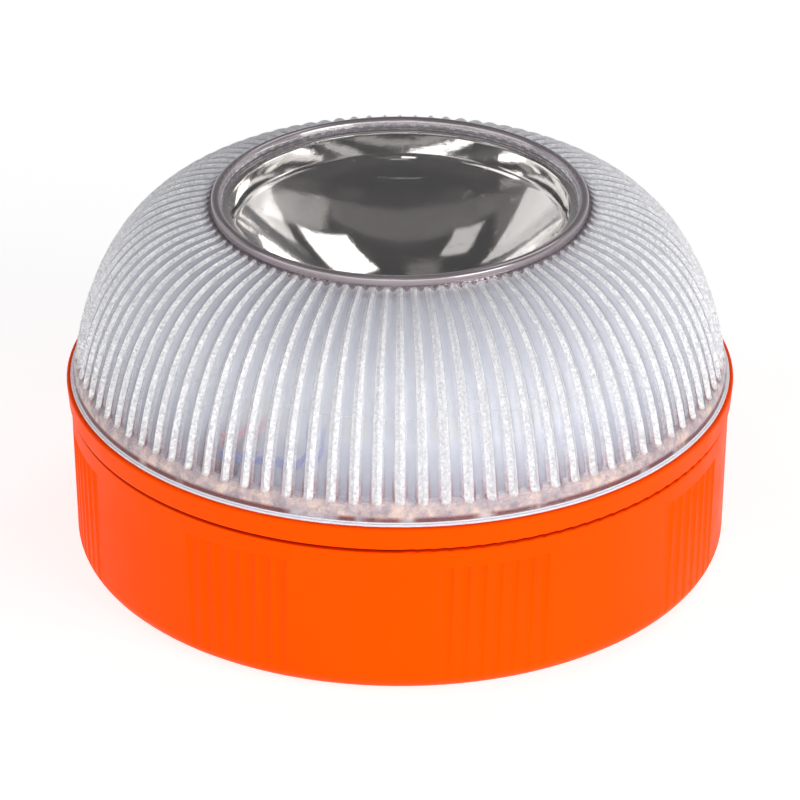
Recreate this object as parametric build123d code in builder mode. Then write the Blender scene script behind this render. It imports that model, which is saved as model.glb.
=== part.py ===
from build123d import *
import os
from math import asin, cos, degrees, pi, radians, sin

# LED road flare: an orange base with a magnet, a battery carrier that hangs under the
# light head, a ribbed clear dome with warning LEDs and a torch reflector behind a window.
# Millimetres, +Z up. The origin is the centre of the ring that the lamp stands on.

# ---------------------------------------------------------------- driving dimensions
bezel_r = 48.0               # widest radius, the lip of the bezel ring
cup_bottom_z = 0.5           # the cup stands this far off the ground, on its rubber ring
cup_rim_z = 23.2             # top of the base cup
bezel_bottom_z = 23.6        # the shadow line between cup and bezel is the difference
bezel_top_z = 27.0           # top of the lip around the dome
dome_rim_r = 47.0            # outside of the dome where it stands in the bezel
dome_spring_z = 26.0         # height where the dome begins to curve in
dome_height = 27.8           # rise of the dome's curve above that
dome_core_r = 6.7            # radius at which the dome's curve would turn flat
collar_r = 26.75             # outside of the raised bead around the torch window
collar_top_z = 54.4          # top of the bead, and of the lamp
button_travel = 1.0          # stroke of the push button and of the switch under it

fit = 0.3                    # gap between pieces that move past each other
slip = 0.08                  # radial play of a sliding fit


def outline(points):
    """A closed face in the XZ plane from (radius, height) corners."""
    with BuildSketch(Plane.XZ) as face:
        with BuildLine():
            Polyline(*points, close=True)
        make_face()
    return face.sketch


def dome_point(t, inset):
    """(radius, height) on the dome, from its rim at t = 0 to its crown at t = 90 degrees."""
    radius = dome_core_r + (dome_rim_r - inset - dome_core_r) * cos(radians(t)) ** 0.4
    height = dome_spring_z + (dome_height - inset) * sin(radians(t)) ** 1.29
    return (radius, height)


def rim(piece, radius, height):
    """The circular edges of a piece at one radius and height."""
    return piece.edges().filter_by(
        lambda edge: edge.geom_type == GeomType.CIRCLE
        and abs(edge.radius - radius) < 0.01
        and abs(edge.center().Z - height) < 0.01
    )


def finish(piece, name):
    """Label a finished piece and write its file."""
    piece.part.label = name
    export_step(piece.part, f"parts/{name}.step")


# ---------------------------------------------------------------- base cup
cup_foot_r = 47.0
cup_rim_r = 47.4
cup_inner_r = 45.0
cup_floor_z = cup_bottom_z + 2.2
foot_in_r = 36.0
foot_out_r = 41.0
foot_seat_z = 1.2
magnet_in_r = 10.0
magnet_out_r = 18.0
magnet_bottom_z = 0.75
magnet_height = 3.0
magnet_top_z = magnet_bottom_z + magnet_height
hub_r = 20.0
hub_top_z = 5.0
button_hole_r = 6.1
corner_r = 2.8               # rounding of the cup's lower edge

lug_count = 4
ledge_in_r = 43.2
ledge_bottom_z = 15.0
ledge_height = 2.0
gap_angle = 24               # the way in for a lug, between two ledges
lug_angle = 18
stop_angle = 41              # the rib that ends the turn, from the middle of a gap
lug_bottom_z = 12.6
lug_height = 2.1

patch_count = 8
patch_pitch = 360 / patch_count
first_patch = -73.9          # middle of the grip just right of the front
flutes_per_patch = 7
flute_pitch = 2.8
flute_cutter_r = 1.6
flute_depth = 0.4
flute_top_z = 20.3
flute_axis_r = cup_rim_r + flute_cutter_r - flute_depth - 0.1

retainer_bottom_z = 6.95
retainer_height = 0.8
boss_pitch_r = 13.5
boss_r = 2.6
screw_hole_r = 0.85

cup_corners = [
    (button_hole_r, cup_bottom_z),
    (magnet_in_r - 0.2, cup_bottom_z),
    (magnet_in_r - 0.2, magnet_top_z),
    (magnet_out_r + 0.2, magnet_top_z),
    (magnet_out_r + 0.2, cup_bottom_z),
    (foot_in_r - 0.1, cup_bottom_z),
    (foot_in_r - 0.1, foot_seat_z),
    (foot_out_r + 0.1, foot_seat_z),
    (foot_out_r + 0.1, cup_bottom_z),
    (cup_foot_r, cup_bottom_z),
    (cup_rim_r, cup_rim_z),
    (cup_inner_r, cup_rim_z),
    (cup_inner_r, cup_floor_z),
    (hub_r, cup_floor_z),
    (hub_r, hub_top_z),
    (button_hole_r, hub_top_z),
]

with BuildPart() as base_cup:
    revolve(outline(cup_corners), axis=Axis.Z)
    fillet(rim(base_cup, cup_foot_r, cup_bottom_z), radius=corner_r)
    fillet(rim(base_cup, cup_inner_r, cup_floor_z), radius=2.0)
    fillet(rim(base_cup, cup_rim_r, cup_rim_z), radius=0.4)
    fillet(rim(base_cup, button_hole_r, cup_bottom_z), radius=0.5)
    with BuildSketch(Plane.XY.offset(ledge_bottom_z)):
        Circle(cup_inner_r + 0.2)
        Circle(ledge_in_r, mode=Mode.SUBTRACT)
        with PolarLocations(cup_inner_r, lug_count):
            Rectangle(8, 2 * cup_inner_r * sin(radians(gap_angle / 2)), mode=Mode.SUBTRACT)
    extrude(amount=ledge_height)
    with BuildSketch(Plane.XY.offset(lug_bottom_z)):
        with PolarLocations(ledge_in_r + 1, lug_count, start_angle=-stop_angle):
            Rectangle(2, 1.6)
    extrude(amount=ledge_bottom_z - lug_bottom_z)
    with BuildSketch(Plane.XY.offset(hub_top_z)):
        with PolarLocations(boss_pitch_r, 3, start_angle=90):
            Circle(boss_r)
    extrude(amount=retainer_bottom_z - hub_top_z)
    with BuildSketch(Plane.XY.offset(retainer_bottom_z)):
        with PolarLocations(boss_pitch_r, 3, start_angle=90):
            Circle(screw_hole_r)
    extrude(amount=-2.5, mode=Mode.SUBTRACT)
    with BuildSketch(Plane.XY.offset(-1)):
        for patch in range(patch_count):
            middle = first_patch + patch * patch_pitch
            first = middle - flute_pitch * (flutes_per_patch - 1) / 2
            with PolarLocations(flute_axis_r, flutes_per_patch, start_angle=first,
                                angular_range=flute_pitch * flutes_per_patch):
                Circle(flute_cutter_r)
    extrude(amount=flute_top_z + 1, mode=Mode.SUBTRACT)
finish(base_cup, "base_cup")

# ---------------------------------------------------------------- what the cup carries
with BuildPart() as foot_ring:
    revolve(outline([(foot_in_r, 0), (foot_out_r, 0), (foot_out_r, foot_seat_z),
                     (foot_in_r, foot_seat_z)]), axis=Axis.Z)
    fillet(rim(foot_ring, foot_in_r, 0) + rim(foot_ring, foot_out_r, 0), radius=0.4)
finish(foot_ring, "foot_ring")

with BuildPart() as ring_magnet:
    revolve(outline([(magnet_in_r, magnet_bottom_z), (magnet_out_r, magnet_bottom_z),
                     (magnet_out_r, magnet_top_z), (magnet_in_r, magnet_top_z)]), axis=Axis.Z)
    chamfer(rim(ring_magnet, magnet_in_r, magnet_bottom_z)
            + rim(ring_magnet, magnet_out_r, magnet_bottom_z), length=0.3)
finish(ring_magnet, "ring_magnet")

# ---------------------------------------------------------------- push button
button_face_z = 1.1
button_r = button_hole_r - slip
flange_r = 8.0
flange_bottom_z = hub_top_z + 0.05
flange_top_z = flange_bottom_z + 0.8
stem_r = 2.0
stem_top_z = 8.3
oring_z = 3.15
oring_wire_r = 0.5
oring_mid_r = button_hole_r - 0.05 - oring_wire_r
groove_half = oring_wire_r + 0.03
groove_r = oring_mid_r - groove_half

with BuildPart() as push_button:
    revolve(outline([(0, button_face_z + 0.35), (3.6, button_face_z), (button_r, button_face_z),
                     (button_r, oring_z - groove_half), (groove_r, oring_z - groove_half),
                     (groove_r, oring_z + groove_half), (button_r, oring_z + groove_half),
                     (button_r, flange_bottom_z), (flange_r, flange_bottom_z),
                     (flange_r, flange_top_z), (stem_r, flange_top_z),
                     (stem_r, stem_top_z), (0, stem_top_z)]), axis=Axis.Z)
    fillet(rim(push_button, button_r, button_face_z), radius=0.5)
finish(push_button, "push_button")

with BuildPart() as button_seal:
    with BuildSketch(Plane.XZ):
        with Locations((oring_mid_r, oring_z)):
            Circle(oring_wire_r)
    revolve(axis=Axis.Z)
finish(button_seal, "button_seal")

with BuildPart() as button_spring:      # a conical spring washer, flat when the button is in
    revolve(outline([(5.6, flange_top_z), (5.95, flange_top_z), (3.3, retainer_bottom_z),
                     (2.95, retainer_bottom_z)]), axis=Axis.Z)
finish(button_spring, "button_spring")

with BuildPart() as button_retainer:
    with BuildSketch(Plane.XY.offset(retainer_bottom_z)):
        Circle(boss_pitch_r + 3)
        Circle(stem_r + 0.3, mode=Mode.SUBTRACT)
        with PolarLocations(boss_pitch_r, 3, start_angle=90):
            Circle(screw_hole_r + 0.1, mode=Mode.SUBTRACT)
        with PolarLocations(boss_pitch_r - 4.5, 3, start_angle=30):
            Circle(2.2, mode=Mode.SUBTRACT)
    extrude(amount=retainer_height)
finish(button_retainer, "button_retainer")


def screw(x, y, head_z, up, length, shank_r, head_r, head_height):
    """A pan-head screw at (x, y): its shank runs up or down from the seat of its head."""
    sign = 1 if up else -1
    shank = Pos(x, y, head_z + sign * length / 2) * Cylinder(shank_r, length)
    head = Pos(x, y, head_z - sign * head_height / 2) * Cylinder(head_r, head_height)
    top = Pos(x, y, head_z - sign * head_height)
    slot = top * (Box(head_r * 1.3, 0.4, 0.7) + Box(0.4, head_r * 1.3, 0.7))
    return shank + head - slot


def screws(places, *size):
    """One screw like the others at each (x, y) place."""
    return [screw(x, y, *size) for x, y in places]


def on_circle(radius, count, start):
    """The (x, y) places of a ring of screws."""
    steps = [radians(start + 360 * k / count) for k in range(count)]
    return [(radius * cos(a), radius * sin(a)) for a in steps]


retainer_screw_set = screws(on_circle(boss_pitch_r, 3, 90), retainer_bottom_z + retainer_height,
                            False, 3.0, screw_hole_r - 0.05, 1.6, 1.0)
with BuildPart() as retainer_screws:
    add(retainer_screw_set)
finish(retainer_screws, "retainer_screws")

# ---------------------------------------------------------------- bezel ring and seals
skirt_r = 44.6
neck_r = 42.9
neck_top_z = 17.5
skirt_bottom_z = 11.0
skirt_in_r = 41.2
seat_in_r = 44.7
seat_out_r = dome_rim_r + 0.1
seat_z = 25.2
seal_wire_r = 0.8
seal_mid_r = cup_inner_r - slip - seal_wire_r
seal_z = 20.5
seal_half = seal_wire_r + 0.03
tab_count = 4
tab_start = 45
tab_r = 37.0
tab_bottom_z = 24.5
post_bottom_z = 26.5

bezel_corners = [
    (skirt_in_r, skirt_bottom_z),
    (neck_r, skirt_bottom_z),
    (neck_r, neck_top_z),
    (skirt_r, neck_top_z),
    (skirt_r, seal_z - seal_half),
    (seal_mid_r - seal_half, seal_z - seal_half),
    (seal_mid_r - seal_half, seal_z + seal_half),
    (skirt_r, seal_z + seal_half),
    (skirt_r, bezel_bottom_z),
    (bezel_r - 0.3, bezel_bottom_z),
    (bezel_r, bezel_top_z),
    (seat_out_r, bezel_top_z),
    (seat_out_r, seat_z),
    (seat_in_r, seat_z),
    (seat_in_r, bezel_top_z),
    (skirt_in_r, bezel_top_z),
]

with BuildPart() as bezel_ring:
    revolve(outline(bezel_corners), axis=Axis.Z)
    fillet(rim(bezel_ring, bezel_r, bezel_top_z), radius=0.35)
    fillet(rim(bezel_ring, bezel_r - 0.3, bezel_bottom_z), radius=0.4)
    with BuildSketch(Plane.XY.offset(lug_bottom_z)):
        Circle(cup_inner_r - fit)
        Circle(neck_r - 0.2, mode=Mode.SUBTRACT)
        with PolarLocations(42, lug_count, start_angle=180 / lug_count):
            Rectangle(24, 2 * 44 * sin(radians(180 / lug_count - lug_angle / 2)), mode=Mode.SUBTRACT)
    extrude(amount=lug_height)
    with BuildSketch(Plane.XY.offset(tab_bottom_z)):
        with PolarLocations(tab_r + 0.8, tab_count, start_angle=tab_start):
            Rectangle(7.2, 7)
        with PolarLocations(tab_r, tab_count, start_angle=tab_start):
            Circle(1.25, mode=Mode.SUBTRACT)
    extrude(amount=post_bottom_z - tab_bottom_z)
finish(bezel_ring, "bezel_ring")

with BuildPart() as cup_seal:
    with BuildSketch(Plane.XZ):
        with Locations((seal_mid_r, seal_z)):
            Circle(seal_wire_r)
    revolve(axis=Axis.Z)
finish(cup_seal, "cup_seal")

dome_bottom_z = seat_z + 0.4
with BuildPart() as dome_seal:
    revolve(outline([(seat_in_r + 0.05, seat_z), (seat_out_r - 0.05, seat_z),
                     (seat_out_r - 0.05, dome_bottom_z), (seat_in_r + 0.05, dome_bottom_z)]),
            axis=Axis.Z)
finish(dome_seal, "dome_seal")

# ---------------------------------------------------------------- clear dome
dome_wall = 2.0
window_top_z = 53.3
window_bottom_z = 52.4
window_r = 25.4              # flat part of the window, inside the bead
pocket_r = 25.6              # recess under the window, for the reflector's lip
curve_steps = 9


def curve_angle(radius, inset):
    """The angle t at which the dome's curve has this radius."""
    share = (radius - dome_core_r) / (dome_rim_r - inset - dome_core_r)
    return degrees(pi / 2 - asin(share ** 2.5))


def dome_curve(inset, end_radius):
    """Points from the rim of the dome to where its curve reaches end_radius."""
    last = curve_angle(end_radius, inset)
    return [dome_point(last * k / curve_steps, inset) for k in range(curve_steps + 1)]


outer_curve = dome_curve(0, collar_r)
inner_curve = dome_curve(dome_wall, pocket_r + 0.6)
bead_shoulder_z = collar_top_z - 0.5

with BuildPart() as dome:
    with BuildSketch(Plane.XZ):
        with BuildLine():
            Line((dome_rim_r - dome_wall, dome_bottom_z), (dome_rim_r, dome_bottom_z))
            Line((dome_rim_r, dome_bottom_z), outer_curve[0])
            Spline(*outer_curve)
            Line(outer_curve[-1], (collar_r, bead_shoulder_z))
            Line((collar_r, bead_shoulder_z), (collar_r - 0.5, collar_top_z))
            Line((collar_r - 0.5, collar_top_z), (window_r + 0.4, collar_top_z))
            Line((window_r + 0.4, collar_top_z), (window_r, window_top_z))
            Line((window_r, window_top_z), (0, window_top_z))
            Line((0, window_top_z), (0, window_bottom_z))
            Line((0, window_bottom_z), (pocket_r, window_bottom_z))
            Line((pocket_r, window_bottom_z), (pocket_r, inner_curve[-1][1]))
            Line((pocket_r, inner_curve[-1][1]), inner_curve[-1])
            Spline(*inner_curve)
            Line(inner_curve[0], (dome_rim_r - dome_wall, dome_bottom_z))
        make_face()
    revolve(axis=Axis.Z)
finish(dome, "dome")

# ---------------------------------------------------------------- torch reflector and LED
deck_bottom_z = 31.0
deck_top_z = 32.6
sink_top_z = deck_top_z + 1.6
star_top_z = sink_top_z + 1.2
lip_top_z = window_bottom_z - 0.1
lip_r = 25.2
barrel_r = 24.0
barrel_bottom_z = 48.4
bowl_rim_r = 23.7
bowl_hole_r = 3.8
bowl_floor_z = star_top_z + 1.2
bowl_gain = (bowl_rim_r ** 2 - bowl_hole_r ** 2) / (barrel_bottom_z - bowl_floor_z)


def bowl_curve(start_r, end_r, drop):
    """Points on the parabola of the bowl, lowered by drop, from one radius to another."""
    radii = [start_r + (end_r - start_r) * k / 6 for k in range(7)]
    return [(r, bowl_floor_z - drop + (r ** 2 - bowl_hole_r ** 2) / bowl_gain) for r in radii]


inside_bowl = bowl_curve(bowl_hole_r, bowl_rim_r, 0)
outside_bowl = bowl_curve(barrel_r + 0.9, 9.6, 1.4)

with BuildPart() as torch_reflector:
    with BuildSketch(Plane.XZ):
        with BuildLine():
            Spline(*inside_bowl)
            Polyline(inside_bowl[-1], (barrel_r, barrel_bottom_z), (barrel_r, lip_top_z),
                     (lip_r, lip_top_z), (lip_r, lip_top_z - 0.9),
                     (barrel_r + 0.9, lip_top_z - 0.9), outside_bowl[0])
            Spline(*outside_bowl)
            Polyline(outside_bowl[-1], (9.6, star_top_z), (bowl_hole_r, star_top_z), inside_bowl[0])
        make_face()
    revolve(axis=Axis.Z)
finish(torch_reflector, "torch_reflector")

with BuildPart() as torch_heat_sink:
    with BuildSketch(Plane.XY.offset(deck_top_z)):
        Circle(11.5)
    extrude(amount=sink_top_z - deck_top_z)
    chamfer(rim(torch_heat_sink, 11.5, sink_top_z), length=0.3)
finish(torch_heat_sink, "torch_heat_sink")

with BuildPart() as torch_star_board:
    with BuildSketch(Plane.XY.offset(sink_top_z)):
        Circle(9.5)
        with PolarLocations(9.5, 6):
            Circle(1.3, mode=Mode.SUBTRACT)
    extrude(amount=star_top_z - sink_top_z)
finish(torch_star_board, "torch_star_board")

with BuildPart() as torch_led:
    with BuildSketch(Plane.XY.offset(star_top_z)):
        Rectangle(3.5, 3.5)
    extrude(amount=0.6)
    with BuildSketch(Plane.XZ):
        with BuildLine():
            CenterArc((0, star_top_z + 0.5), 1.5, 0, 90)
            Line((0, star_top_z + 2.0), (0, star_top_z + 0.5))
            Line((0, star_top_z + 0.5), (1.5, star_top_z + 0.5))
        make_face()
    revolve(axis=Axis.Z)
finish(torch_led, "torch_led")

# ---------------------------------------------------------------- carrier inside the head
deck_r = 36.5
carrier_rim_r = seat_in_r - 0.1
carrier_rim_top_z = bezel_top_z + 1.2
cone_foot_r = 41.2
cradle_post_x = 26.5
cradle_post_y = 17.5
wire_hole = (-23.4, -31.2)
wire_hole_r = 4.0
driver_post_x = 14.0
driver_post_y = -20.5
driver_top_z = 26.8
driver_bottom_z = 25.6

with BuildPart() as carrier:
    revolve(outline([(0, deck_bottom_z), (deck_r - 1.1, deck_bottom_z), (cone_foot_r - 1.1, bezel_top_z),
                     (carrier_rim_r, bezel_top_z), (carrier_rim_r, carrier_rim_top_z),
                     (cone_foot_r, carrier_rim_top_z), (deck_r, deck_top_z), (0, deck_top_z)]),
            axis=Axis.Z)
    with BuildSketch(Plane.XY.offset(post_bottom_z)):
        with PolarLocations(tab_r, tab_count, start_angle=tab_start):
            Circle(2.6)
    extrude(amount=deck_bottom_z - post_bottom_z + 0.5)
    with BuildSketch(Plane.XY.offset(driver_top_z)):
        with Locations((driver_post_x, driver_post_y), (-driver_post_x, driver_post_y)):
            Circle(2.0)
    extrude(amount=deck_bottom_z - driver_top_z + 0.5)
    with BuildSketch(Plane.XY.offset(post_bottom_z)):
        with PolarLocations(tab_r, tab_count, start_angle=tab_start):
            Circle(1.15)
    extrude(amount=4.0, mode=Mode.SUBTRACT)
    with BuildSketch(Plane.XY.offset(driver_top_z)):
        with Locations((driver_post_x, driver_post_y), (-driver_post_x, driver_post_y)):
            Circle(screw_hole_r)
    extrude(amount=3.6, mode=Mode.SUBTRACT)
    with BuildSketch(Plane.XY.offset(post_bottom_z)):
        with Locations(wire_hole):
            Circle(wire_hole_r)
        with GridLocations(2 * cradle_post_x, 2 * cradle_post_y, 2, 2):
            Circle(1.15)
    extrude(amount=8, mode=Mode.SUBTRACT)
    with BuildSketch(Plane.XY.offset(deck_top_z)):
        with GridLocations(2 * cradle_post_x, 2 * cradle_post_y, 2, 2):
            Circle(2.1)
    extrude(amount=-0.8, mode=Mode.SUBTRACT)
finish(carrier, "carrier")

carrier_screw_set = screws(on_circle(tab_r, tab_count, tab_start), tab_bottom_z,
                           True, 5.4, 1.1, 2.1, 1.4)
with BuildPart() as carrier_screws:
    add(carrier_screw_set)
finish(carrier_screws, "carrier_screws")

# ---------------------------------------------------------------- warning LEDs
board_r = 36.0
board_top_z = deck_top_z + 1.2
led_count = 16
led_ring_r = 32.5
led_side = 3.5

with BuildPart() as led_board:
    with BuildSketch(Plane.XY.offset(deck_top_z)):
        Circle(board_r)
        Circle(13.0, mode=Mode.SUBTRACT)
        with Locations((-26.5, -34.0)):
            Circle(8.5, mode=Mode.SUBTRACT)
        with PolarLocations(24.0, 3, start_angle=90):
            Circle(1.1, mode=Mode.SUBTRACT)
    extrude(amount=board_top_z - deck_top_z)
finish(led_board, "led_board")

led_board_screw_set = screws(on_circle(24.0, 3, 90), board_top_z,
                             False, board_top_z - deck_top_z, 1.05, 1.9, 1.1)
with BuildPart() as led_board_screws:
    add(led_board_screw_set)
finish(led_board_screws, "led_board_screws")

with BuildPart() as warning_leds:
    with BuildSketch(Plane.XY.offset(board_top_z)):
        with PolarLocations(led_ring_r, led_count, start_angle=360 / led_count / 2):
            Rectangle(led_side, led_side)
    extrude(amount=0.9)
finish(warning_leds, "warning_leds")

# ---------------------------------------------------------------- battery and its cradle
cradle_bottom_z = 13.2
cradle_x = 56.0
cradle_y = 30.0
cradle_wall = 1.4
battery_z = 13.3
battery_long = 46.4
battery_wide = 26.5
battery_thick = 17.5
battery_x = -26.4            # closed end of the battery
battery_mid_z = battery_z + battery_thick / 2
terminal_x = battery_x + battery_long
terminal_y = 6.35
snap_x = terminal_x + 0.2
snap_length = 4.4
wire_exit_x = terminal_x + 1.8
door_bottom_z = 12.1

with BuildPart() as battery_cradle:
    with BuildSketch(Plane.XY.offset(cradle_bottom_z)):
        RectangleRounded(cradle_x, cradle_y, 2)
        with GridLocations(2 * cradle_post_x, 2 * cradle_post_y, 2, 2):
            Circle(2.6)
        Rectangle(cradle_x - 2 * cradle_wall, cradle_y - 2 * cradle_wall, mode=Mode.SUBTRACT)
        with GridLocations(2 * cradle_post_x, 2 * cradle_post_y, 2, 2):
            Circle(1.0, mode=Mode.SUBTRACT)
    extrude(amount=deck_bottom_z - cradle_bottom_z)
    with BuildSketch(Plane.XZ.offset(10)):
        with Locations((wire_exit_x, battery_mid_z)):
            Rectangle(3.8, 7.0)
    extrude(amount=10, mode=Mode.SUBTRACT)
    with BuildSketch(Plane.XZ.offset(-30)):
        with Locations((-6, battery_mid_z)):
            SlotOverall(26, 8)
    extrude(amount=60, mode=Mode.SUBTRACT)
finish(battery_cradle, "battery_cradle")

with BuildPart() as battery:
    with BuildSketch(Plane.YZ.offset(battery_x)):
        with Locations((0, battery_mid_z)):
            RectangleRounded(battery_wide, battery_thick, 2.2)
    extrude(amount=battery_long)
    fillet(battery.faces().filter_by(Plane.YZ).edges(), radius=0.6)
finish(battery, "battery")

with BuildPart() as battery_terminals:
    with BuildSketch(Plane.YZ.offset(terminal_x)):
        with Locations((-terminal_y, battery_mid_z)):
            Circle(2.9)
        with Locations((terminal_y, battery_mid_z)):
            RegularPolygon(4.2, 6)
    extrude(amount=2.1)
finish(battery_terminals, "battery_terminals")

with BuildPart() as battery_snap:
    with BuildSketch(Plane.YZ.offset(snap_x)):
        with Locations((0, battery_mid_z)):
            RectangleRounded(25.0, 12.0, 3)
    extrude(amount=snap_length)
    with BuildSketch(Plane.YZ.offset(snap_x)):
        with Locations((-terminal_y, battery_mid_z), (terminal_y, battery_mid_z)):
            Circle(4.4)
    extrude(amount=2.2, mode=Mode.SUBTRACT)
finish(battery_snap, "battery_snap")

with BuildPart() as battery_door:
    with BuildSketch(Plane.XY.offset(door_bottom_z)):
        RectangleRounded(cradle_x, cradle_y, 2)
        with GridLocations(2 * cradle_post_x, 2 * cradle_post_y, 2, 2):
            Circle(2.6)
        with GridLocations(2 * cradle_post_x, 2 * cradle_post_y, 2, 2):
            Circle(1.05, mode=Mode.SUBTRACT)
        with Locations((17, 0), (-17, 0)):
            SlotOverall(12, 3, rotation=90, mode=Mode.SUBTRACT)
    extrude(amount=cradle_bottom_z - door_bottom_z)
finish(battery_door, "battery_door")

cradle_places = [(x, y) for x in (-cradle_post_x, cradle_post_x)
                 for y in (-cradle_post_y, cradle_post_y)]
cradle_screw_set = screws(cradle_places, deck_top_z - 0.8, False, 7.0, 0.95, 1.9, 0.7)
with BuildPart() as cradle_screws:
    add(cradle_screw_set)
finish(cradle_screws, "cradle_screws")

door_screw_set = screws(cradle_places, door_bottom_z, True, 6.0, 0.95, 1.9, 1.1)
with BuildPart() as door_screws:
    add(door_screw_set)
finish(door_screws, "door_screws")

# ---------------------------------------------------------------- driver electronics
with BuildPart() as driver_board:
    with BuildSketch(Plane.XY.offset(driver_bottom_z)):
        with Locations((0, -25.2)):
            Rectangle(36, 15.0)
        with Locations((driver_post_x, driver_post_y), (-driver_post_x, driver_post_y)):
            Circle(1.0, mode=Mode.SUBTRACT)
    extrude(amount=driver_top_z - driver_bottom_z)
finish(driver_board, "driver_board")

driver_places = [(-driver_post_x, driver_post_y), (driver_post_x, driver_post_y)]
driver_screw_set = screws(driver_places, driver_bottom_z, True, 4.4, screw_hole_r - 0.05, 1.6, 1.0)
with BuildPart() as driver_board_screws:
    add(driver_screw_set)
finish(driver_board_screws, "driver_board_screws")

with BuildPart() as driver_inductor:
    with BuildSketch(Plane.XZ):
        with BuildLine():
            Polyline((0, driver_bottom_z), (4.0, driver_bottom_z), (4.0, driver_bottom_z - 1.2),
                     (2.9, driver_bottom_z - 1.2), (2.9, driver_bottom_z - 4.4),
                     (4.0, driver_bottom_z - 4.4), (4.0, driver_bottom_z - 5.6),
                     (0, driver_bottom_z - 5.6), close=True)
        make_face()
    revolve(axis=Axis.Z)
driver_inductor.part.locate(Location((-5.5, -26.5, 0)))
finish(driver_inductor, "driver_inductor")

with BuildPart() as driver_capacitor:
    with BuildSketch(Plane.XY.offset(driver_bottom_z)):
        with Locations((5.0, -26.5)):
            Circle(3.15)
    extrude(amount=-7.0)
    fillet(driver_capacitor.edges().group_by(Axis.Z)[0], radius=0.5)
finish(driver_capacitor, "driver_capacitor")

with BuildPart() as driver_chips:
    with BuildSketch(Plane.XY.offset(driver_top_z)):
        with Locations((0, -24.0)):
            Rectangle(5.0, 4.0)
        with Locations((7.5, -27.5), (-7.5, -28.5)):
            Rectangle(3.0, 2.6)
    extrude(amount=1.5)
finish(driver_chips, "driver_chips")

# ---------------------------------------------------------------- switch under the battery
switch_board_bottom_z = 11.3
switch_bottom_z = 9.5
plunger_bottom_z = stem_top_z + 0.05
plunger_top_z = 9.95
plunger_r = 1.6

with BuildPart() as switch_board:
    with BuildSketch(Plane.XY.offset(switch_board_bottom_z)):
        RectangleRounded(15, 12, 1)
    extrude(amount=door_bottom_z - switch_board_bottom_z)
finish(switch_board, "switch_board")

with BuildPart() as switch_body:
    with BuildSketch(Plane.XY.offset(switch_bottom_z)):
        RectangleRounded(6.2, 6.2, 0.4)
    extrude(amount=switch_board_bottom_z - switch_bottom_z)
    with BuildSketch(Plane.XY.offset(switch_bottom_z)):
        Circle(plunger_r + slip)
    extrude(amount=plunger_top_z + button_travel + 0.05 - switch_bottom_z, mode=Mode.SUBTRACT)
finish(switch_body, "switch_body")

with BuildPart() as switch_plunger:
    with BuildSketch(Plane.XY.offset(plunger_bottom_z)):
        Circle(plunger_r)
    extrude(amount=plunger_top_z - plunger_bottom_z)
finish(switch_plunger, "switch_plunger")


# ---------------------------------------------------------------- wires
def wire(route, wire_r, bend):
    """A round wire along straight runs joined by arcs."""
    with BuildPart() as run:
        with BuildLine() as path:
            FilletPolyline(*route, radius=bend)
        with BuildSketch(Plane(origin=path.line @ 0, z_dir=path.line % 0)):
            Circle(wire_r)
        sweep()
    return run


battery_wire_red = wire([(wire_exit_x, -12.5, 23.5), (wire_exit_x, -19.0, 23.5),
                         (16.4, -24.0, 23.5), (16.4, -24.0, 25.6)], 0.65, 1.6)
finish(battery_wire_red, "battery_wire_red")

battery_wire_black = wire([(wire_exit_x, -12.5, 20.5), (wire_exit_x, -20.0, 20.5),
                           (14.0, -28.0, 20.5), (14.0, -28.0, 25.6)], 0.65, 1.6)
finish(battery_wire_black, "battery_wire_black")

led_wire_red = wire([(-15.0, -27.0, 26.8), (-15.0, -27.0, 29.2), (-22.6, -29.6, 29.2),
                     (-24.4, -31.6, 32.6), (-22.4, -34.6, 34.2), (-19.4, -34.2, 35.0),
                     (-17.4, -30.6, 35.0), (-17.4, -30.6, 33.8)], 0.6, 0.9)
finish(led_wire_red, "led_wire_red")

led_wire_blue = wire([(-15.0, -30.0, 26.8), (-15.0, -30.0, 28.9), (-22.4, -31.8, 28.9),
                      (-24.6, -33.6, 31.2), (-19.6, -37.2, 32.0), (-14.0, -39.0, 32.2),
                      (-10.6, -37.8, 33.4), (-10.4, -35.0, 35.0), (-10.6, -32.8, 35.0),
                      (-10.6, -32.8, 33.8)], 0.6, 0.9)
finish(led_wire_blue, "led_wire_blue")

switch_wires_route = [(0, -6.0, 11.55), (0, -17.0, 11.55), (0, -20.0, 14.5), (0, -20.0, 25.6)]
switch_wire_red = wire([(x - 2.5, y, z) for x, y, z in switch_wires_route], 0.5, 1.5)
finish(switch_wire_red, "switch_wire_red")
switch_wire_black = wire([(x + 2.5, y, z) for x, y, z in switch_wires_route], 0.5, 1.5)
finish(switch_wire_black, "switch_wire_black")
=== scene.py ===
from math import cos, hypot, pi, radians, sin

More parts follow.
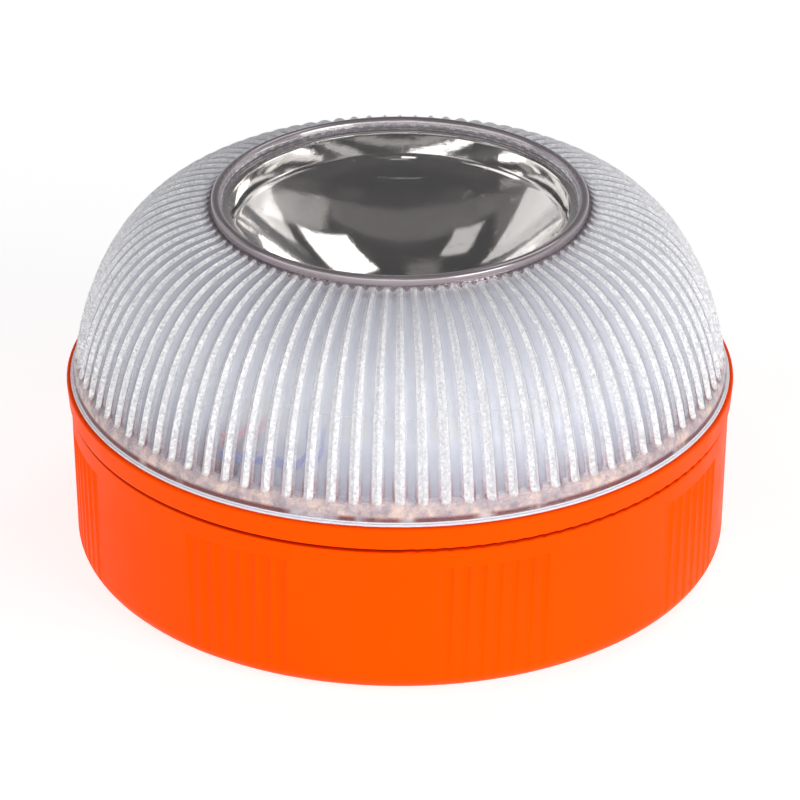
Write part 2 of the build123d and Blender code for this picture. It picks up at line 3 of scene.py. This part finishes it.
import bpy
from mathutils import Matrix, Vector


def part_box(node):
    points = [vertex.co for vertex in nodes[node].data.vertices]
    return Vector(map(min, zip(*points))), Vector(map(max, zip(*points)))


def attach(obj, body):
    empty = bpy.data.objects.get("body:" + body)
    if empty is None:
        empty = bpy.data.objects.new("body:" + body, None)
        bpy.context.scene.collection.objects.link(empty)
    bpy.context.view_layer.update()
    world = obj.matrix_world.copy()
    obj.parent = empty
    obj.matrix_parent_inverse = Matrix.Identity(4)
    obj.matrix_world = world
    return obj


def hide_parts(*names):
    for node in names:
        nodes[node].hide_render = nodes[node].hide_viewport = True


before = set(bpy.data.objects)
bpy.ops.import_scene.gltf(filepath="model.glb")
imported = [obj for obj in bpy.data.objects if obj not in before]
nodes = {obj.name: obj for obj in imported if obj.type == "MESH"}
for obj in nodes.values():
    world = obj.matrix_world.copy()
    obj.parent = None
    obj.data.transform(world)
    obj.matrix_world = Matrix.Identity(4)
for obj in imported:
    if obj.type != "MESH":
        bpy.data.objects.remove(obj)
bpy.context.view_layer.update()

scene = bpy.context.scene
MM = 0.001

# ---------------------------------------------------------------- sizes, in millimetres
BEZEL_R = 48.0
BEZEL_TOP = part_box("bezel_ring")[1].z / MM
DOME_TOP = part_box("dome")[1].z / MM
DOME_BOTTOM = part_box("dome")[0].z / MM
DOME_R = 47.0
DOME_SPRING = 26.0
DOME_RISE = 27.8
DOME_CORE_R = 6.7
DOME_SIDE_POWER = 0.4
DOME_TOP_POWER = 1.29
DOME_WALL = 2.0
COLLAR_R = 26.75
COLLAR_STEP_IN = 0.98      # the wall's direction where it meets the collar
COLLAR_STEP_UP = 0.18
WINDOW_R = 25.4
WINDOW_IN_R = 25.3
WINDOW_TOP = DOME_TOP - 1.1
WINDOW_BOTTOM = DOME_TOP - 2.0
RIBS = 92
RIB_STEPS = 14
RIB_DEPTH_LOW = 0.8
RIB_DEPTH_TOP = 0.52
RIB_FOOT = 29.3
RIB_END = 1.5
RIB_TOP_GAP = 0.8
RIB_TOP_END = 0.9
RIB_POWER = 2.4            # higher is a flatter flute with steeper flanks


# ---------------------------------------------------------------- mesh helpers
def new_mesh(name, verts, faces, sharp=40):
    """An object from millimetre corners, smooth except along edges sharper than the angle."""
    mesh = bpy.data.meshes.new(name)
    mesh.from_pydata([Vector(v) * MM for v in verts], [], faces)
    mesh.validate()
    mesh.update()
    mesh.shade_smooth()
    mesh.set_sharp_from_angle(angle=radians(sharp))
    piece = bpy.data.objects.new(name, mesh)
    scene.collection.objects.link(piece)
    return piece


def lathe(name, profile, steps, place=None, sharp=40):
    """A closed solid of revolution; place(radius, height, angle, index) may move its points."""
    verts, rings = [], []
    for index, (radius, height) in enumerate(profile):
        if radius < 1e-6:
            rings.append([len(verts)])
            verts.append((0, 0, height))
            continue
        ring = []
        for step in range(steps):
            angle = 2 * pi * step / steps
            r, z = (radius, height) if place is None else place(radius, height, angle, index)
            ring.append(len(verts))
            verts.append((r * cos(angle), r * sin(angle), z))
        rings.append(ring)
    faces = []
    for low, high in zip(rings, rings[1:] + rings[:1]):
        if len(low) == 1 and len(high) == 1:
            continue
        for step in range(steps):
            after = (step + 1) % steps
            if len(low) == 1:
                faces.append((low[0], high[after], high[step]))
            elif len(high) == 1:
                faces.append((low[step], low[after], high[0]))
            else:
                faces.append((low[step], low[after], high[after], high[step]))
    return new_mesh(name, verts, faces, sharp)


# ---------------------------------------------------------------- material helpers
def material(name, color, roughness, metallic=0.0, **sockets):
    """A Principled material; extra sockets are given with underscores for spaces."""
    mat = bpy.data.materials.new(name)
    mat.use_nodes = True
    tree = mat.node_tree
    shader = tree.nodes["Principled BSDF"]
    shader.inputs["Base Color"].default_value = (*color, 1)
    shader.inputs["Roughness"].default_value = roughness
    shader.inputs["Metallic"].default_value = metallic
    for key, value in sockets.items():
        shader.inputs[key.replace("_", " ")].default_value = value
    return mat


def add_node(mat, kind, **settings):
    """A new node in a material; settings that begin with in_ are inputs, and others are properties."""
    node = mat.node_tree.nodes.new(kind)
    for key, value in settings.items():
        if key.startswith("in_"):
            socket = key[3:].replace("_", " ")
            node.inputs[int(socket) if socket.isdigit() else socket].default_value = value
        else:
            setattr(node, key, value)
    return node


def link(mat, out, into):
    mat.node_tree.links.new(out, into)


def shader_of(mat):
    return mat.node_tree.nodes["Principled BSDF"]


def own_place(mat):
    """The x, y and z of the shaded point in the piece's own coordinates, in metres."""
    place = add_node(mat, "ShaderNodeTexCoord")
    split = add_node(mat, "ShaderNodeSeparateXYZ")
    link(mat, place.outputs["Object"], split.inputs[0])
    return split.outputs


def noise_of(mat, scale, detail=2.0, roughness=0.5):
    """A noise texture in the piece's own coordinates; scale is features per metre."""
    place = add_node(mat, "ShaderNodeTexCoord")
    grain = add_node(mat, "ShaderNodeTexNoise", in_Scale=scale, in_Detail=detail, in_Roughness=roughness)
    link(mat, place.outputs["Object"], grain.inputs["Vector"])
    return grain


def vary(mat, socket, grain, low, high):
    """Drive a socket of the shader with noise, between two values."""
    spread = add_node(mat, "ShaderNodeMapRange", in_1=0.3, in_2=0.7, in_3=low, in_4=high)
    link(mat, grain.outputs["Fac"], spread.inputs[0])
    link(mat, spread.outputs[0], shader_of(mat).inputs[socket])


def vary_color(mat, grain, low, high):
    ramp = add_node(mat, "ShaderNodeValToRGB")
    ramp.color_ramp.elements[0].position = 0.35
    ramp.color_ramp.elements[0].color = (*low, 1)
    ramp.color_ramp.elements[1].position = 0.65
    ramp.color_ramp.elements[1].color = (*high, 1)
    link(mat, grain.outputs["Fac"], ramp.inputs["Fac"])
    link(mat, ramp.outputs["Color"], shader_of(mat).inputs["Base Color"])


def bump(mat, grain, distance, strength=0.4):
    """Raise the surface by noise; distance in millimetres."""
    raise_it = add_node(mat, "ShaderNodeBump", in_Strength=strength, in_Distance=distance * MM)
    link(mat, grain.outputs["Fac"], raise_it.inputs["Height"])
    link(mat, raise_it.outputs["Normal"], shader_of(mat).inputs["Normal"])


def moulded(name, color, roughness=0.4, spread=0.06, grain_scale=2500, depth=0.02, **sockets):
    """Moulded plastic or rubber: fine grain, slight unevenness of colour and gloss."""
    mat = material(name, color, roughness, **sockets)
    blotch = noise_of(mat, 60, 3)
    dark = [c * (1 - spread) for c in color]
    light = [min(1, c * (1 + spread)) for c in color]
    vary_color(mat, blotch, dark, light)
    vary(mat, "Roughness", noise_of(mat, 180, 3), roughness * 0.85, roughness * 1.15)
    bump(mat, noise_of(mat, grain_scale, 2), depth, 0.3)
    return mat


def metal(name, color, roughness, spread=0.05, grain_scale=900):
    mat = material(name, color, roughness, 1.0)
    vary_color(mat, noise_of(mat, 120, 3), [c * (1 - spread) for c in color], color)
    vary(mat, "Roughness", noise_of(mat, grain_scale, 3), roughness * 0.7, roughness * 1.3)
    bump(mat, noise_of(mat, grain_scale * 2, 2), 0.01, 0.2)
    return mat


def let_lamps_through(mat):
    """Shadow rays pass the clear dome, so that lamps light what is under it."""
    tree = mat.node_tree
    out = tree.nodes["Material Output"]
    path = add_node(mat, "ShaderNodeLightPath")
    clear = add_node(mat, "ShaderNodeBsdfTransparent", in_Color=(0.55, 0.55, 0.58, 1))
    mix = add_node(mat, "ShaderNodeMixShader")
    link(mat, path.outputs["Is Shadow Ray"], mix.inputs["Fac"])
    link(mat, shader_of(mat).outputs["BSDF"], mix.inputs[1])
    link(mat, clear.outputs["BSDF"], mix.inputs[2])
    link(mat, mix.outputs["Shader"], out.inputs["Surface"])


# ---------------------------------------------------------------- materials
white_abs = moulded("white_abs", (0.62, 0.62, 0.66), 0.4)
black_rubber = moulded("black_rubber", (0.025, 0.025, 0.026), 0.7, 0.2, 1500, 0.03)
black_plastic = moulded("black_plastic", (0.035, 0.035, 0.038), 0.45, 0.15)
button_plastic = moulded("button_plastic", (0.05, 0.05, 0.055), 0.5, 0.1)
board_white = moulded("board_white", (0.84, 0.85, 0.84), 0.3)
board_green = moulded("board_green", (0.015, 0.16, 0.05), 0.3, 0.25)
ferrite = moulded("ferrite", (0.07, 0.07, 0.075), 0.6, 0.2)
chip_epoxy = moulded("chip_epoxy", (0.02, 0.02, 0.02), 0.5, 0.2)
battery_case = metal("battery_case", (0.09, 0.1, 0.13), 0.32, 0.1)
steel = metal("screw_steel", (0.62, 0.62, 0.63), 0.28)
nickel = metal("nickel", (0.66, 0.64, 0.6), 0.22)
aluminium = metal("aluminium", (0.8, 0.8, 0.81), 0.32)
can = metal("capacitor_can", (0.2, 0.22, 0.32), 0.35)
wire_red = moulded("wire_red", (0.72, 0.01, 0.012), 0.35, 0.1)
wire_black = moulded("wire_black", (0.02, 0.02, 0.02), 0.35, 0.1)
wire_blue = moulded("wire_blue", (0.01, 0.05, 0.5), 0.35, 0.1)
phosphor = moulded("phosphor", (0.93, 0.86, 0.5), 0.35, 0.08)
silicone = moulded("silicone", (0.8, 0.76, 0.7), 0.4)


def calc(mat, operation, first, second=None):
    """One step of arithmetic in a material; each term is a number or a socket."""
    node = add_node(mat, "ShaderNodeMath", operation=operation)
    for index, term in enumerate((first, second)):
        if isinstance(term, (int, float)):
            node.inputs[index].default_value = term
        elif term is not None:
            link(mat, term, node.inputs[index])
    return node.outputs[0]


def times(mat, first, second):
    return calc(mat, "MULTIPLY", first, second)


def plus(mat, first, second):
    return calc(mat, "ADD", first, second)


def between(mat, value, low, high, start=0.0, end=1.0):
    """Goes from start to end while the value goes from low to high, and stays there."""
    node = add_node(mat, "ShaderNodeMapRange", in_1=low, in_2=high, in_3=start, in_4=end)
    link(mat, value, node.inputs[0])
    return node.outputs[0]


def tint(mat, share, below, above):
    """A colour mixed from two; each is a colour or a socket."""
    node = add_node(mat, "ShaderNodeMix", data_type="RGBA")
    link(mat, share, node.inputs[0])
    for socket, color in ((node.inputs[6], below), (node.inputs[7], above)):
        if isinstance(color, tuple):
            socket.default_value = (*color, 1)
        else:
            link(mat, color, socket)
    return node.outputs[2]


def orange_material():
    """Satin orange plastic, with painted shadow along the parting line of cup and bezel."""
    mat = moulded("orange_abs", (1.0, 0.068, 0.0), 0.42, 0.03, 1800, 0.012,
                  Specular_IOR_Level=0.05, Specular_Tint=(1.0, 0.4, 0.1, 1))
    z = own_place(mat)["Z"]
    # Painted shadow: a thin dark red band at the parting line, where the bezel overhangs the cup.
    painted_seam_shadow = times(mat, between(mat, z, 0.0229, 0.0231), between(mat, z, 0.0236, 0.0234))
    into = shader_of(mat).inputs["Base Color"]
    plain = into.links[0].from_socket
    link(mat, tint(mat, times(mat, painted_seam_shadow, 0.75), plain, (0.22, 0.004, 0.0)), into)
    return mat


def chrome_material():
    """Vacuum-metallised plastic: a slightly wavy barrel over a smooth bowl, with fine scratches."""
    mat = material("reflector_chrome", (0.9, 0.89, 0.88), 0.04, 1.0)
    shader = shader_of(mat)
    barrel = between(mat, own_place(mat)["Z"], 0.0484, 0.0488)
    vary(mat, "Roughness", noise_of(mat, 500, 5, 0.7), 0.02, 0.07)
    waves = times(mat, noise_of(mat, 260, 2).outputs["Fac"], times(mat, barrel, 0.07))
    fine = times(mat, noise_of(mat, 900, 4, 0.65).outputs["Fac"], 0.035)
    place = add_node(mat, "ShaderNodeTexCoord")
    stretched = add_node(mat, "ShaderNodeMapping", in_Rotation=(0.4, 0.3, 0.7), in_Scale=(40, 1500, 900))
    link(mat, place.outputs["Object"], stretched.inputs["Vector"])
    hair = add_node(mat, "ShaderNodeTexNoise", in_Scale=1.0, in_Detail=2.0)
    link(mat, stretched.outputs[0], hair.inputs["Vector"])
    scratches = times(mat, between(mat, hair.outputs["Fac"], 0.69, 0.73), 0.05)
    raise_it = add_node(mat, "ShaderNodeBump", in_Distance=0.3 * MM, in_Strength=1.0)
    link(mat, plus(mat, waves, plus(mat, fine, scratches)), raise_it.inputs["Height"])
    link(mat, raise_it.outputs["Normal"], shader.inputs["Normal"])
    return mat


def dome_zones(mat):
    """Shares from 0 to 1 that say where on the dome a point is; heights and radii in metres."""
    x, y, z = own_place(mat)
    radius = calc(mat, "SQRT", plus(mat, calc(mat, "POWER", x, 2), calc(mat, "POWER", y, 2)))
    crest = calc(mat, "COSINE", times(mat, calc(mat, "ARCTAN2", y, x), RIBS))
    zone = {"z": z, "radius": radius, "crest": crest}
    zone["past_collar"] = between(mat, radius, 0.0270, 0.0276)
    zone["fluted"] = times(mat, between(mat, z, 0.0292, 0.0302), zone["past_collar"])
    zone["flank"] = times(mat, zone["fluted"], between(mat, crest, 0.12, 0.4))
    zone["collar"] = times(mat, between(mat, radius, 0.0270, 0.02685), between(mat, radius, 0.0252, 0.0255))
    rim = between(mat, radius, 0.0440, 0.0450)
    low_wall = times(mat, between(mat, z, 0.0274, 0.0279), between(mat, z, 0.0303, 0.0297))
    zone["foot"] = times(mat, low_wall, rim)
    zone["edge"] = times(mat, rim, between(mat, z, 0.0276, 0.0275))
    gaps = between(mat, noise_of(mat, 160, 3).outputs["Fac"], 0.33, 0.46)
    # Painted shadow: a broken dark red line where the dome sits in the bezel, with painted reflection of
    # the orange bezel.
    line = times(mat, between(mat, z, 0.0275, 0.0276), between(mat, z, 0.02845, 0.0280))
    zone["line"] = times(mat, times(mat, line, gaps), rim)
    # Painted shade: dark scallops where the flutes run in under the collar.
    scallop = plus(mat, radius, times(mat, crest, 0.0003))
    inside_scallops = between(mat, scallop, 0.02755, 0.0274)
    zone["under_collar"] = times(mat, inside_scallops, between(mat, radius, 0.0268, 0.0269))
    sides = times(mat, between(mat, crest, -0.6, -0.3), between(mat, crest, 0.4, 0.1))
    zone["streak"] = times(mat, times(mat, between(mat, z, 0.0345, 0.0305), zone["fluted"]), sides)
    # Painted shade: the flutes turn grey-blue where they are seen at a slant.
    weight = add_node(mat, "ShaderNodeLayerWeight")
    zone["slant"] = times(mat, zone["fluted"], between(mat, weight.outputs["Facing"], 0.2, 0.7))
    return zone


def dome_color(mat, zone, speckle, smear, glue):
    """The dome's colour: clear window, grained ribs, red-brown traces of glue along the foot, with painted
    shade under the collar and where the flutes are seen at a slant, and a painted shadow line at the seat.
    """
    grained = tint(mat, speckle, (0.66, 0.65, 0.67), (1.0, 1.0, 1.0))
    smooth = tint(mat, zone["past_collar"], (0.98, 0.965, 0.955), (0.82, 0.835, 0.90))
    streak = tint(mat, smear, (0.62, 0.26, 0.26), (0.97, 0.75, 0.76))
    glue_color = tint(mat, smear, (0.46, 0.17, 0.16), (0.74, 0.54, 0.44))
    color = tint(mat, zone["flank"], smooth, grained)
    color = tint(mat, zone["streak"], color, streak)
    color = tint(mat, glue, color, glue_color)
    # Painted shade under the collar.
    color = tint(mat, zone["under_collar"], color, (0.30, 0.24, 0.26))
    color = tint(mat, zone["collar"], color, (0.40, 0.35, 0.37))
    # Painted shadow and painted reflection at the dome's seat in the bezel.
    color = tint(mat, zone["line"], color, (0.20, 0.035, 0.035))
    # Painted shade where the flutes are seen at a slant.
    return tint(mat, times(mat, zone["slant"], 0.5), color, (0.45, 0.45, 0.51))


def dome_material():
    """Clear polycarbonate: ribs with grained flanks, a dull collar, a clear window, glue at the foot."""
    mat = material("clear_dome", (0.96, 0.96, 0.985), 0.03, 0.0, IOR=1.5)
    shader = shader_of(mat)
    zone = dome_zones(mat)
    grain = noise_of(mat, 2900, 3, 0.65).outputs["Fac"]
    speckle = between(mat, grain, 0.38, 0.62)
    smear = between(mat, noise_of(mat, 420, 4, 0.65).outputs["Fac"], 0.38, 0.62)
    glue = times(mat, zone["foot"], plus(mat, 0.3, times(mat, smear, 0.55)))
    frost = times(mat, zone["flank"], plus(mat, 0.45, times(mat, speckle, 0.5)))
    haze = times(mat, zone["fluted"], between(mat, zone["z"], 0.031, 0.045, 0.06, 0.34))
    cloudy = calc(mat, "MAXIMUM", calc(mat, "MAXIMUM", calc(mat, "MAXIMUM", frost, haze), glue),
                  times(mat, zone["edge"], 0.9))
    clear = calc(mat, "SUBTRACT", calc(mat, "SUBTRACT", 0.985, cloudy), times(mat, zone["collar"], 0.55))
    link(mat, clear, shader.inputs["Transmission Weight"])
    rough = plus(mat, 0.03, times(mat, zone["fluted"], 0.2))
    rough = plus(mat, rough, times(mat, plus(mat, zone["flank"], zone["collar"]), 0.14))
    link(mat, rough, shader.inputs["Roughness"])
    link(mat, times(mat, zone["collar"], 0.4), shader.inputs["Metallic"])
    link(mat, dome_color(mat, zone, speckle, smear, glue), shader.inputs["Base Color"])
    raise_it = add_node(mat, "ShaderNodeBump", in_Distance=0.35 * MM)
    link(mat, times(mat, cloudy, 0.9), raise_it.inputs["Strength"])
    link(mat, grain, raise_it.inputs["Height"])
    link(mat, raise_it.outputs["Normal"], shader.inputs["Normal"])
    let_lamps_through(mat)
    return mat


orange = orange_material()
chrome = chrome_material()
clear_dome = dome_material()

NODE_MATERIALS = {
    "base_cup": orange, "bezel_ring": orange, "foot_ring": black_rubber, "ring_magnet": nickel,
    "push_button": button_plastic, "button_seal": black_rubber, "button_spring": steel,
    "button_retainer": black_plastic, "retainer_screws": steel, "cup_seal": black_rubber,
    "dome_seal": silicone, "torch_heat_sink": aluminium, "torch_star_board": board_white,
    "torch_led": phosphor, "carrier": white_abs, "carrier_screws": steel, "led_board": board_white,
    "led_board_screws": steel, "battery_cradle": black_plastic, "battery": battery_case,
    "battery_terminals": nickel, "battery_snap": black_plastic, "battery_door": black_plastic,
    "cradle_screws": steel, "door_screws": steel, "driver_board": board_green,
    "driver_board_screws": steel, "driver_inductor": ferrite, "driver_capacitor": can,
    "driver_chips": chip_epoxy, "switch_board": board_green, "switch_body": black_plastic,
    "switch_plunger": button_plastic, "battery_wire_red": wire_red,
    "battery_wire_black": wire_black, "led_wire_red": wire_red, "led_wire_blue": wire_blue,
    "switch_wire_red": wire_red, "switch_wire_black": wire_black, "warning_leds": phosphor,
}


def dress(piece, *mats):
    piece.data.materials.clear()
    for mat in mats:
        piece.data.materials.append(mat)


for node, mat in NODE_MATERIALS.items():
    dress(nodes[node], mat)


# ---------------------------------------------------------------- ribbed dome
def dome_point(t, inset):
    """Radius and height of the dome's curve at an angle from its foot, for a skin set in from it."""
    radius = DOME_CORE_R + (DOME_R - inset - DOME_CORE_R) * cos(t) ** DOME_SIDE_POWER
    height = DOME_SPRING + (DOME_RISE - inset) * sin(t) ** DOME_TOP_POWER
    return radius, height


def dome_curve(inset, end_r, steps):
    """Points from the dome's rim to where the curve reaches a radius, evenly along its arc."""
    fine = [dome_point(pi / 2 * k / 4000, inset) for k in range(4000)]
    fine = [p for p in fine if p[0] >= end_r] + [(end_r, None)]
    fine[-1] = (end_r, fine[-2][1])
    run = [0.0]
    for a, b in zip(fine, fine[1:]):
        run.append(run[-1] + hypot(b[0] - a[0], b[1] - a[1]))
    picked, at = [], 0
    for k in range(steps + 1):
        goal = run[-1] * k / steps
        while run[at] < goal - 1e-9:
            at += 1
        picked.append(fine[at])
    return picked


def make_dome():
    """The dome as one skin: flange, fluted wall, collar bead, window and inner wall."""
    outer = dome_curve(0, COLLAR_R, 60)
    inner = dome_curve(DOME_WALL, COLLAR_R - 0.5, 30)
    flange = [(DOME_R, DOME_BOTTOM), (DOME_R, BEZEL_TOP - 0.2), (DOME_R + 0.15, BEZEL_TOP + 0.05),
              (DOME_R + 0.35, BEZEL_TOP + 0.06), (DOME_R + 0.4, BEZEL_TOP + 0.16),
              (DOME_R + 0.3, BEZEL_TOP + 0.32), (DOME_R + 0.05, BEZEL_TOP + 0.4)]
    wall = [p for p in outer if p[1] > BEZEL_TOP + 0.6]
    bead = []
    for k in range(9):
        turn = pi * k / 8
        bead.append(((COLLAR_R + WINDOW_R) / 2 + (COLLAR_R - WINDOW_R) / 2 * cos(turn),
                     DOME_TOP - 0.5 + 0.5 * sin(turn)))
    window = [(WINDOW_R, WINDOW_TOP + 0.15), (WINDOW_R - 0.15, WINDOW_TOP), (12, WINDOW_TOP),
              (0, WINDOW_TOP), (0, WINDOW_BOTTOM), (12, WINDOW_BOTTOM), (WINDOW_IN_R, WINDOW_BOTTOM),
              (WINDOW_IN_R, inner[-1][1])]
    profile = flange + wall + bead + window + inner[::-1] + [(DOME_R - DOME_WALL, DOME_BOTTOM)]
    first = len(flange)
    last = len(flange) + len(wall) - 1
    lengths = [0.0]
    for a, b in zip(wall, wall[1:]):
        lengths.append(lengths[-1] + hypot(b[0] - a[0], b[1] - a[1]))

    def flute(radius, height, angle, index):
        """Sinks the wall between two ribs; flutes fade out at the foot and under the collar."""
        if index < first or index > last:
            return radius, height
        at = index - first
        share = lengths[at] / lengths[-1]
        before = profile[index - 1]
        after = profile[index + 1] if index < last else (radius - COLLAR_STEP_IN, height + COLLAR_STEP_UP)
        along = Vector((after[0] - before[0], after[1] - before[1])).normalized()
        out = Vector((along.y, -along.x))
        across = (angle * RIBS / (2 * pi)) % 1.0 * 2 - 1
        foot = 1 - min(1, max(0, (height - RIB_FOOT) / RIB_END))
        left = lengths[-1] - lengths[at] - RIB_TOP_GAP
        tip = 1 - min(1, max(0, left / RIB_TOP_END))
        hollow = max(0.0, 1 - abs(across) ** RIB_POWER - foot * foot - tip * tip)
        depth = RIB_DEPTH_LOW + (RIB_DEPTH_TOP - RIB_DEPTH_LOW) * share
        moved = Vector((radius, height)) - out * depth * hollow
        if index == last:
            moved.x = radius
        return moved.x, moved.y

    dome = lathe("dome_ribbed", profile, RIBS * RIB_STEPS, flute, 32)
    dress(dome, clear_dome)
    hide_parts("dome")
    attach(dome, "head")


make_dome()


# ---------------------------------------------------------------- torch reflector
def make_reflector():
    """A paraboloid bowl under a short barrel, with a rolled lip."""
    lip_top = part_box("torch_reflector")[1].z / MM
    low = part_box("torch_reflector")[0].z / MM
    floor = low + 1.2
    barrel, rim, rim_z, hole = 24.0, 23.7, lip_top - 3.9, 3.8
    gain = (rim ** 2 - hole ** 2) / (rim_z - floor)

    def bowl(start, end, drop, steps):
        radii = [start + (end - start) * k / steps for k in range(steps + 1)]
        return [(r, floor - drop + (r * r - hole * hole) / gain) for r in radii]

    profile = bowl(hole, rim, 0, 64)
    profile += [(rim + 0.06, rim_z + 0.12), (rim + 0.16, rim_z + 0.2), (barrel - 0.04, rim_z + 0.3),
                (barrel, rim_z + 0.5), (barrel + 0.002, rim_z + 0.62),
                (barrel + 0.045, lip_top - 0.42), (barrel + 0.05, lip_top - 0.3),
                (barrel + 0.12, lip_top - 0.08), (barrel + 0.35, lip_top), (25.05, lip_top),
                (25.2, lip_top - 0.15), (25.2, lip_top - 0.9), (24.95, lip_top - 0.95)]
    profile += bowl(24.9, 9.6, 1.4, 32) + [(9.6, low), (hole, low)]
    piece = lathe("torch_reflector_polished", profile, 384, None, 30)
    dress(piece, chrome)
    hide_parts("torch_reflector")
    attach(piece, "head")


make_reflector()


# ---------------------------------------------------------------- floor, light, camera
CAMERA_DISTANCE = 14       # in bezel radii
CAMERA_AIM = 0.445         # height aimed at, in bezel radii
CAMERA_ELEVATION = 28.0
LAMP_AIM = (0, 0, 0.03)
MIRROR_AIM = (0, 0, 0.045)


def make_floor():
    """Pale paper that also glows a little, so that it reads as a white backdrop."""
    half = 3.0
    piece = new_mesh("floor", [(x * half / MM, y * half / MM, 0) for x, y in
                               ((-1, -1), (1, -1), (1, 1), (-1, 1))], [(0, 1, 2, 3)])
    mat = moulded("floor_paper", (0.5, 0.5, 0.5), 0.9, 0.01, 400, 0.05)
    shader_of(mat).inputs["Specular IOR Level"].default_value = 0.1
    shader_of(mat).inputs["Emission Color"].default_value = (1, 1, 1, 1)
    shader_of(mat).inputs["Emission Strength"].default_value = 0.74
    dress(piece, mat)


def area(name, place, aim, width, height, power):
    """A rectangular lamp; sizes and places in metres."""
    lamp = bpy.data.lights.new(name, "AREA")
    lamp.shape = "RECTANGLE"
    lamp.size = width
    lamp.size_y = height
    lamp.energy = power
    thing = bpy.data.objects.new(name, lamp)
    thing.location = place
    thing.rotation_euler = (Vector(aim) - Vector(place)).to_track_quat("-Z", "Y").to_euler()
    scene.collection.objects.link(thing)


def make_world():
    """A studio: pale walls low down, dark ceiling."""
    world = bpy.data.worlds.new("studio")
    scene.world = world
    world.use_nodes = True
    tree = world.node_tree
    place = tree.nodes.new("ShaderNodeTexCoord")
    split = tree.nodes.new("ShaderNodeSeparateXYZ")
    ramp = tree.nodes.new("ShaderNodeValToRGB")
    tree.links.new(place.outputs["Generated"], split.inputs[0])
    tree.links.new(split.outputs["Z"], ramp.inputs["Fac"])
    tree.links.new(ramp.outputs["Color"], tree.nodes["Background"].inputs["Color"])
    ramp.color_ramp.elements[0].position = 0.0
    ramp.color_ramp.elements[0].color = (0.95, 0.95, 0.97, 1)
    ramp.color_ramp.elements[1].position = 0.6
    ramp.color_ramp.elements[1].color = (0.012, 0.011, 0.01, 1)
    middle = ramp.color_ramp.elements.new(0.3)
    middle.color = (0.3, 0.3, 0.31, 1)
    tree.nodes["Background"].inputs["Strength"].default_value = 1.0


def make_camera():
    elevation = radians(CAMERA_ELEVATION)
    distance = CAMERA_DISTANCE * BEZEL_R * MM
    aim = Vector((0, 0, CAMERA_AIM * BEZEL_R * MM))
    lens = bpy.data.cameras.new("camera")
    lens.lens = 209
    lens.sensor_width = 36
    lens.clip_start = 0.01
    camera = bpy.data.objects.new("camera", lens)
    camera.location = aim + Vector((0, -cos(elevation), sin(elevation))) * distance
    camera.rotation_euler = (pi / 2 - elevation, 0, 0)
    scene.collection.objects.link(camera)
    scene.camera = camera


def make_lamps():
    """Three softboxes light the object, and the reflector mirrors seven panels 1 m away."""
    area("softbox_left", (-0.95, -0.4, 0.45), LAMP_AIM, 1.0, 0.8, 3.9)
    area("softbox_right", (0.8, -0.72, 0.36), LAMP_AIM, 0.7, 0.6, 8.0)
    area("softbox_front", (-0.1, -1.15, 0.3), LAMP_AIM, 1.6, 0.7, 7.0)
    for name, turn, rise, width, height, glow in (
            ("bowl_left", 30, 28, 0.42, 0.30, 1.0), ("bowl_right", 143, 28, 0.46, 0.38, 0.8),
            ("low_left", 46, 54, 0.36, 0.40, 2.6), ("low_right", 148, 58, 0.22, 0.22, 0.7),
            ("barrel_white", 263, 45, 0.13, 0.28, 2.6), ("barrel_grey", 283, 41, 0.12, 0.22, 0.7),
            ("barrel_top", 271, 60, 0.15, 0.14, 0.45)):
        flat = cos(radians(rise))
        spot = (flat * cos(radians(turn)), flat * sin(radians(turn)), sin(radians(rise)))
        area(name, spot, MIRROR_AIM, width, height, glow * pi * width * height)


make_floor()
make_world()
make_lamps()
make_camera()
scene.view_settings.view_transform = "Standard"
